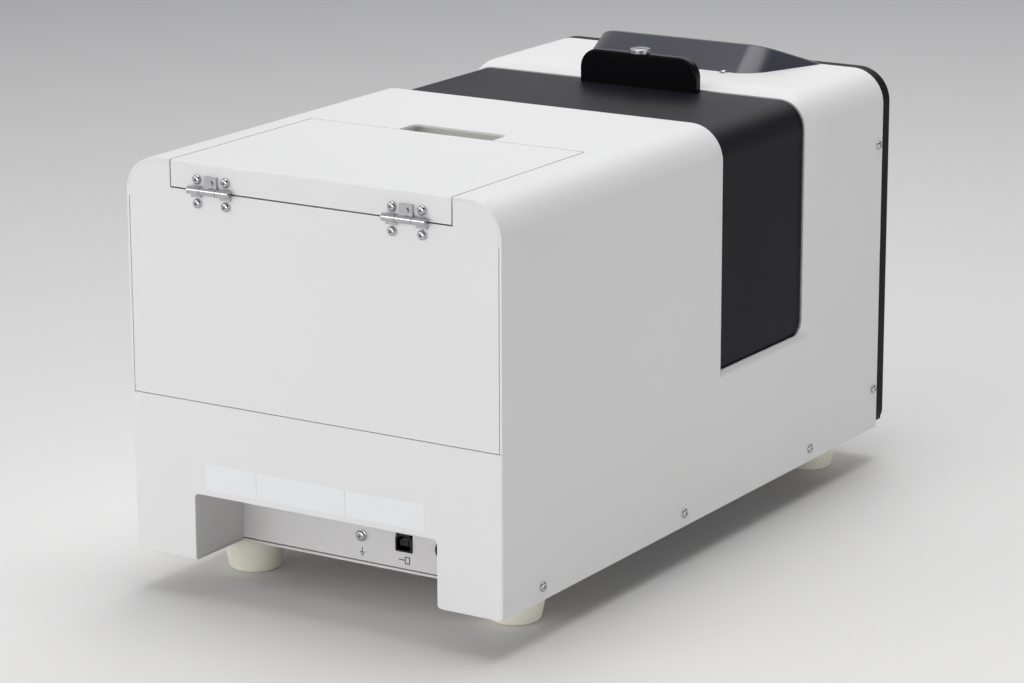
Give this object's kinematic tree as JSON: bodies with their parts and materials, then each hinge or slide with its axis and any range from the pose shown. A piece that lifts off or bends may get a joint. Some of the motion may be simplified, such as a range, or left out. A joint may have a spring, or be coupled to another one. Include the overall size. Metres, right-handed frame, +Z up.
{
  "type": "benchtop colorimeter",
  "caption": "Benchtop colorimeter with a hinged storage lid, a sliding chamber cover, a rear cable bay, a front measuring port and a sprung sample holder.",
  "frame": {"origin": "on the table, under the middle of everything the instrument reaches", "axes": "+Z up, -Y out of the measuring port, +Y out of the rear panel with its sockets, +X to the right seen from the port"},
  "size_m": [0.2748, 0.5588, 0.2991],
  "materials": {
    "shell_paint": "satin powder paint",
    "rear_paint": "satin powder paint",
    "cover_grey": "matte moulding",
    "liner_black": "matte black",
    "tab_black": "smooth black",
    "hood_grey": "satin moulding",
    "panel_black": "matte moulding",
    "chassis": "matt black paint",
    "bare_sheet": "bright zinc",
    "fastener": "bright nickel",
    "foot_rubber": "cream rubber",
    "switch_black": "black moulding",
    "white_lining": "matt white coating",
    "port_metal": "satin anodised",
    "mask_black": "black anodised",
    "bright_metal": "turned steel",
    "pad_white": "soft facing",
    "optic_glass": "clear",
    "optic_black": "black anodised",
    "board_green": "solder mask",
    "capacitor": "sleeved can",
    "tray_grey": "matte moulding",
    "case_black": "matte moulding",
    "tile_white": "glazed white",
    "lamp_lens": "clear green"
  },
  "bodies": {
    "instrument": {"outer_shell": "shell_paint", "upper_rear_panel": "rear_paint", "lower_rear_panel": "rear_paint", "connector_panel": "rear_paint", "usb_socket": "switch_black", "earth_terminal": "fastener", "power_inlet": "switch_black", "switch_body": "switch_black", "base_plate": "bare_sheet", "feet": "foot_rubber", "foot_screws": "fastener", "base_rails": "bare_sheet", "side_screws": "fastener", "body_hinge_leaves": "fastener", "body_hinge_screws": "fastener", "accessory_tray": "tray_grey", "tile_case": "case_black", "calibration_tile": "tile_white", "zero_box": "mask_black", "spare_masks": "mask_black", "left_frame": "chassis", "right_frame": "chassis", "chamber_floor": "chassis", "rear_bulkhead": "chassis", "front_bulkhead": "chassis", "cover_guides": "liner_black", "sphere_front_half": "white_lining", "sphere_rear_half": "white_lining", "chamber_port": "optic_black", "lens_barrel": "optic_black", "receiving_lens": "optic_glass", "lamp_housing": "bare_sheet", "flash_tube": "optic_glass", "optics_bench": "bare_sheet", "spectrometer_housing": "optic_black", "spectrometer_cover": "optic_black", "main_board": "board_green", "power_board": "board_green", "flash_capacitors": "capacitor", "front_panel": "panel_black", "status_lamp": "lamp_lens", "viewer_hood": "hood_grey", "hood_screws": "fastener", "port_ring": "port_metal", "holder_bracket": "bare_sheet", "holder_pin": "bright_metal"},
    "lid": {"lid_panel": "shell_paint", "lid_hinge_leaves": "fastener", "hinge_pins": "fastener", "lid_hinge_screws": "fastener"},
    "cover": {"chamber_cover": "cover_grey", "cover_liner": "liner_black", "pull_tab": "tab_black", "tab_screws": "fastener"},
    "lock": {"lock_knob": "bright_metal"},
    "arm": {"holder_arm": "port_metal"},
    "pad": {"pad_plunger": "bright_metal", "sample_pad": "pad_white"},
    "mask": {"target_mask": "mask_black"},
    "rocker": {"power_rocker": "switch_black"}
  },
  "joints": [
    {"name": "lid_hinge", "type": "hinge", "parent": "instrument", "child": "lid", "pos_m": [0, 0.27695, 0.2615], "axis": [-1, 0, 0], "range_deg": [0, 105]},
    {"name": "cover_slide", "type": "slide", "parent": "instrument", "child": "cover", "axis": [0, 1, 0], "range_m": [0, 0.084]},
    {"name": "lock_turn", "type": "hinge", "parent": "cover", "child": "lock", "pos_m": [-0.0095, -0.10005, 0.298], "axis": [0, 0, 1], "range_deg": [0, 90]},
    {"name": "holder_swing", "type": "hinge", "parent": "instrument", "child": "arm", "pos_m": [0, -0.24045, 0.097], "axis": [1, 0, 0], "range_deg": [0, 90], "stiffness_Nm_per_rad": 0.15, "springref_deg": -51.57},
    {"name": "pad_slide", "type": "slide", "parent": "arm", "child": "pad", "axis": [0, -1, 0], "range_m": [0, 0.008], "stiffness_N_per_m": 200, "springref_m": -0.012},
    {"name": "mask_turn", "type": "hinge", "parent": "instrument", "child": "mask", "pos_m": [0, -0.22755, 0.191], "axis": [0, -1, 0], "range_deg": [0, 25]},
    {"name": "rocker_tilt", "type": "hinge", "parent": "instrument", "child": "rocker", "pos_m": [-0.078, 0.22205, 0.0432], "axis": [-1, 0, 0], "range_deg": [0, 16]}
  ]
}
